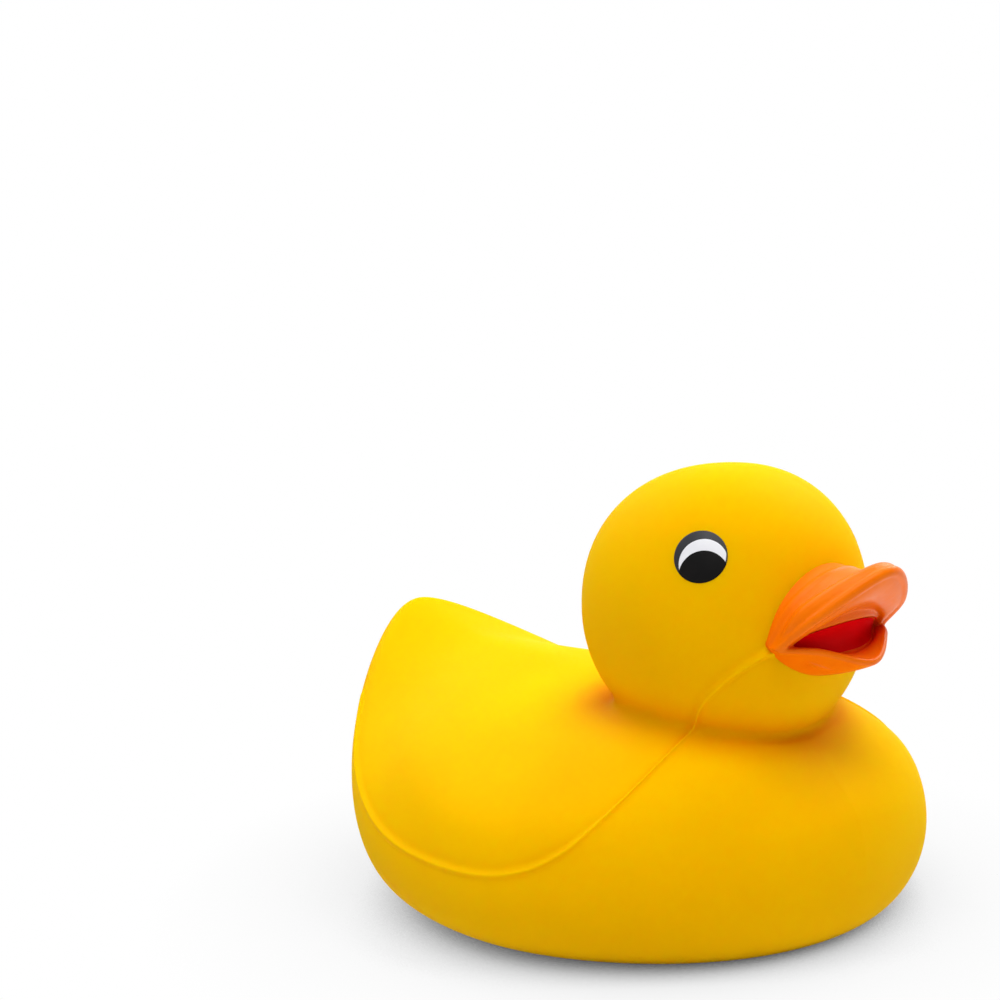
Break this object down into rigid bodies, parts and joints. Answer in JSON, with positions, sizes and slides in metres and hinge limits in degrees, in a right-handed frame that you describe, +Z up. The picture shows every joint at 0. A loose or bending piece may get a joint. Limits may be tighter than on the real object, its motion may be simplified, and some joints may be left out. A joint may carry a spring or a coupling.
{
  "type": "squishy toy duck",
  "caption": "Soft foam toy duck with a round head, open painted bill, printed eyes and an upturned tail, standing on a flat base.",
  "frame": {"origin": "middle of the flat base that the duck stands on", "axes": "+X towards the bill, +Y towards the duck's left side, +Z up"},
  "size_m": [0.0878, 0.0704, 0.0574],
  "materials": {
    "foam_skin": "matte, self-skinned yellow foam",
    "bill_paint": "satin orange paint",
    "mouth_paint": "satin dark red paint",
    "eye_black": "satin black print",
    "eye_white": "satin white print"
  },
  "bodies": {
    "root": {"duck": "foam_skin"}
  },
  "joints": []
}
